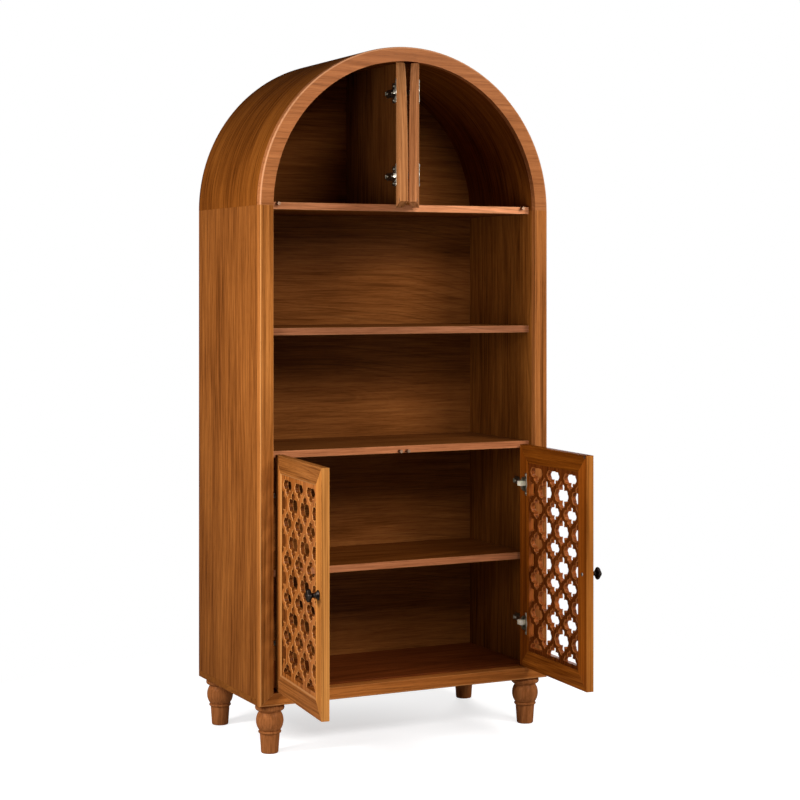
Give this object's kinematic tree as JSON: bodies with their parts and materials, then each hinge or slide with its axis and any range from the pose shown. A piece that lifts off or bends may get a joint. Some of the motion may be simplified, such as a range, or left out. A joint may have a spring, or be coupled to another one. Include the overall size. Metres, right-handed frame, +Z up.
{
  "type": "arched storage cabinet",
  "caption": "Tall round-topped wooden cabinet on turned feet, with open shelves, quarter-arch upper doors and carved lattice lower doors on concealed hinges.",
  "frame": {"origin": "middle of the outline with the doors open as stored, on the floor", "axes": "+Z up, -Y out of the front, +X to the viewer's right when facing the front"},
  "size_m": [0.8154, 0.7512, 1.7249],
  "materials": {
    "side_wood": "satin lacquer over walnut-brown stain, long vertical grain",
    "face_wood": "satin lacquer over honey-brown stain",
    "inner_wood": "satin lacquer over dark walnut stain, grain along the shelf",
    "door_wood": "satin lacquer over honey-brown stain, mitred",
    "carved_wood": "satin lacquer, darker in the cuts",
    "turned_wood": "gloss lacquer over walnut-brown stain, lathe turned",
    "knob_bronze": "dark antique bronze",
    "screw_steel": "zinc-plated",
    "hinge_steel": "nickel-plated pressed steel",
    "catch_steel": "satin",
    "cream_plastic": "matte"
  },
  "bodies": {
    "carcass": {"arched_face_rim": "face_wood", "arched_top": "side_wood", "back_panel": "inner_wood", "base_board": "side_wood", "bottom_face_rail": "face_wood", "cabinet_shelf": "inner_wood", "centre_divider": "inner_wood", "floor_panel": "inner_wood", "foot_back_left": "turned_wood", "foot_back_right": "turned_wood", "foot_front_left": "turned_wood", "foot_front_right": "turned_wood", "inner_shelf": "inner_wood", "inner_shelf_pins": "screw_steel", "left_face_stile": "face_wood", "left_side_panel": "side_wood", "lower_left_hinge_arms": "hinge_steel", "lower_left_hinge_dampers": "cream_plastic", "lower_right_hinge_arms": "hinge_steel", "lower_right_hinge_dampers": "cream_plastic", "magnet_catches": "catch_steel", "middle_shelf": "inner_wood", "right_face_stile": "face_wood", "right_side_panel": "side_wood", "top_shelf": "inner_wood", "upper_left_hinge_arms": "hinge_steel", "upper_right_hinge_arms": "hinge_steel"},
    "lower_left_door": {"lower_left_bottom_rail": "door_wood", "lower_left_hinge_cups": "hinge_steel", "lower_left_hinge_pins": "hinge_steel", "lower_left_hinge_stile": "door_wood", "lower_left_knob": "knob_bronze", "lower_left_knob_screw": "screw_steel", "lower_left_lattice_panel": "carved_wood", "lower_left_lock_stile": "door_wood", "lower_left_strike": "catch_steel", "lower_left_top_rail": "door_wood"},
    "lower_right_door": {"lower_right_bottom_rail": "door_wood", "lower_right_hinge_cups": "hinge_steel", "lower_right_hinge_pins": "hinge_steel", "lower_right_hinge_stile": "door_wood", "lower_right_knob": "knob_bronze", "lower_right_knob_screw": "screw_steel", "lower_right_lattice_panel": "carved_wood", "lower_right_lock_stile": "door_wood", "lower_right_strike": "catch_steel", "lower_right_top_rail": "door_wood"},
    "upper_left_door": {"upper_left_hinge_cups": "hinge_steel", "upper_left_hinge_pins": "hinge_steel", "upper_left_panel": "door_wood", "upper_left_strike": "catch_steel"},
    "upper_right_door": {"upper_right_hinge_cups": "hinge_steel", "upper_right_hinge_pins": "hinge_steel", "upper_right_panel": "door_wood", "upper_right_strike": "catch_steel"}
  },
  "joints": [
    {"name": "lower_left_hinge", "type": "hinge", "parent": "carcass", "child": "lower_left_door", "pos_m": [-0.33626, -0.03338, 0.4435], "axis": [0, 0, -1], "range_deg": [-96, 14]},
    {"name": "lower_right_hinge", "type": "hinge", "parent": "carcass", "child": "lower_right_door", "pos_m": [0.35174, -0.03338, 0.4435], "axis": [0, 0, 1], "range_deg": [-86.3, 23.7]},
    {"name": "upper_left_hinge", "type": "hinge", "parent": "carcass", "child": "upper_left_door", "pos_m": [-0.01076, -0.03338, 1.5105], "axis": [0, 0, 1], "range_deg": [-65.1, 0]},
    {"name": "upper_right_hinge", "type": "hinge", "parent": "carcass", "child": "upper_right_door", "pos_m": [0.02624, -0.03338, 1.5105], "axis": [0, 0, -1], "range_deg": [-117.9, 0]}
  ]
}
